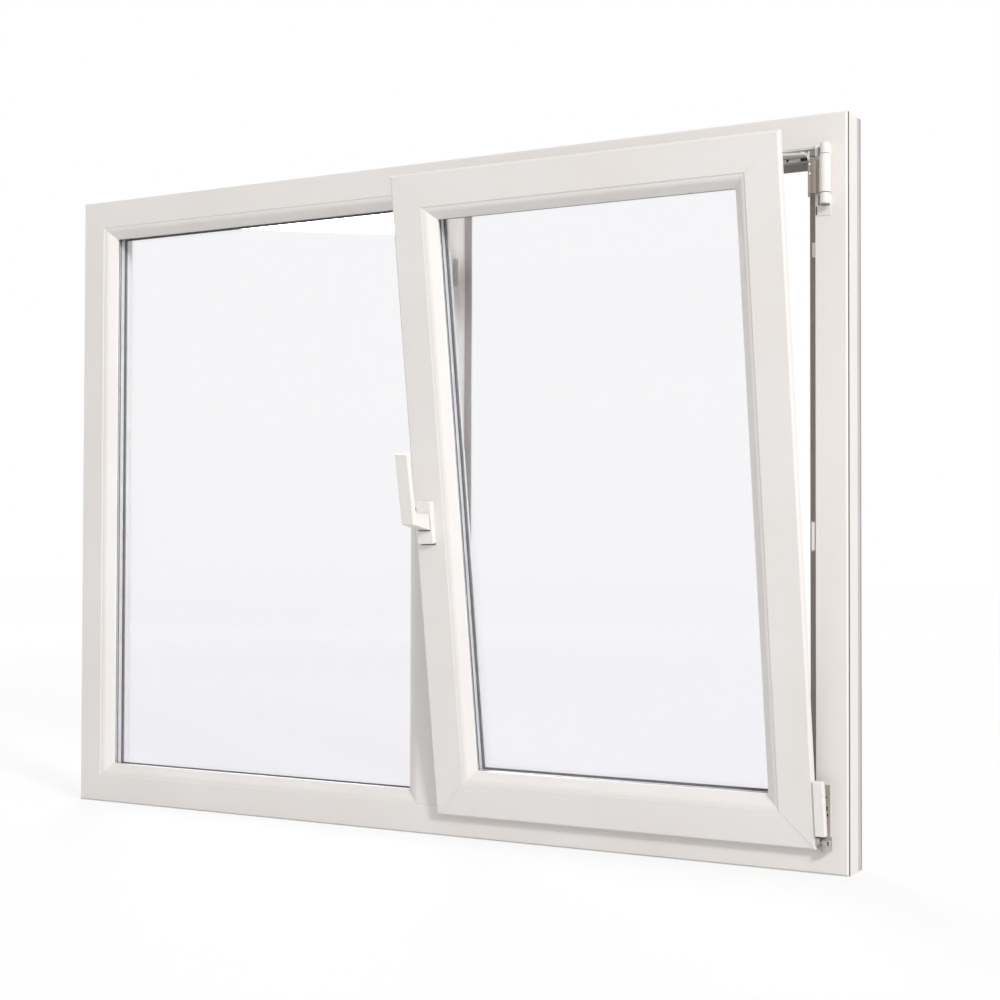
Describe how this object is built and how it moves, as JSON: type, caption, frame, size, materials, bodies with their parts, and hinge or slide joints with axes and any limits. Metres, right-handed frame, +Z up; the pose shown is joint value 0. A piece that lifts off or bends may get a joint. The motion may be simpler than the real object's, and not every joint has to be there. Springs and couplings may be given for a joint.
{
  "type": "tilt and turn window",
  "caption": "White window with a fixed light and a sash that tilts inward at the top or turns inward on its side hinges, worked by one lever handle.",
  "frame": {"origin": "middle of the sill's flat underside, on its mounting face", "axes": "+X to the right seen from the room, +Y toward the outside, +Z up"},
  "size_m": [1.6, 0.2504, 1.2],
  "materials": {
    "white_profile": "smooth white plastic, slight sheen",
    "clear_glass": "clear float glass",
    "spacer_metal": "satin aluminium strip",
    "grey_rubber": "matt grey gasket",
    "white_fittings": "white powder coat",
    "plated_steel": "zinc-plated steel, satin"
  },
  "bodies": {
    "frame": {"bottom_bearing": "plated_steel", "drain_cover_left": "white_profile", "drain_cover_right": "white_profile", "fixed_bead_bottom": "white_profile", "fixed_bead_left": "white_profile", "fixed_bead_right": "white_profile", "fixed_bead_top": "white_profile", "fixed_gasket_inner": "grey_rubber", "fixed_gasket_outer": "grey_rubber", "fixed_pane_inner": "clear_glass", "fixed_pane_outer": "clear_glass", "fixed_spacer": "spacer_metal", "frame_head": "white_profile", "frame_left_jamb": "white_profile", "frame_lip_seal": "grey_rubber", "frame_right_jamb": "white_profile", "frame_sill": "white_profile", "head_rebate_plate": "plated_steel", "keeper_high": "plated_steel", "keeper_hinge_side": "plated_steel", "keeper_low": "plated_steel", "mullion": "white_profile", "top_hinge_lower_knuckle": "white_fittings", "top_hinge_pin": "plated_steel", "top_hinge_upper_knuckle": "white_fittings"},
    "pivot_link": {"bottom_pivot_pin": "plated_steel"},
    "sash": {"corner_band_cover": "white_fittings", "handle_rosette": "white_fittings", "sash_bead_bottom": "white_profile", "sash_bead_left": "white_profile", "sash_bead_right": "white_profile", "sash_bead_top": "white_profile", "sash_bottom_rail": "white_profile", "sash_corner_band": "plated_steel", "sash_gasket_inner": "grey_rubber", "sash_gasket_outer": "grey_rubber", "sash_left_stile": "white_profile", "sash_lock_strip": "plated_steel", "sash_overlap_seal": "grey_rubber", "sash_pane_inner": "clear_glass", "sash_pane_outer": "clear_glass", "sash_right_stile": "white_profile", "sash_spacer": "spacer_metal", "sash_top_rail": "white_profile", "sash_top_strip": "plated_steel"},
    "stay": {"stay_arm": "plated_steel", "stay_sleeve_cover": "white_fittings"},
    "handle": {"handle_lever": "white_fittings"}
  },
  "joints": [
    {"name": "turn", "type": "hinge", "parent": "frame", "child": "pivot_link", "pos_m": [0.768, -0.047, 0.055], "axis": [0, 0, 1], "range_deg": [0, 90]},
    {"name": "tilt", "type": "hinge", "parent": "pivot_link", "child": "sash", "pos_m": [0.768, -0.047, 0.051], "axis": [-1, 0, 0], "range_deg": [0, 8.2]},
    {"name": "stay_swing", "type": "hinge", "parent": "pivot_link", "child": "stay", "pos_m": [0.768, -0.047, 1.1], "axis": [0, 0, -1], "range_deg": [0, 19.6]},
    {"name": "handle_turn", "type": "hinge", "parent": "sash", "child": "handle", "pos_m": [0.079, -0.12539, 0.55295], "axis": [0, 0.9898, 0.1426], "range_deg": [0, 180]}
  ],
  "couplings": [
    {"joint": "stay_swing", "follows": "tilt", "ratio": 2.3902}
  ]
}
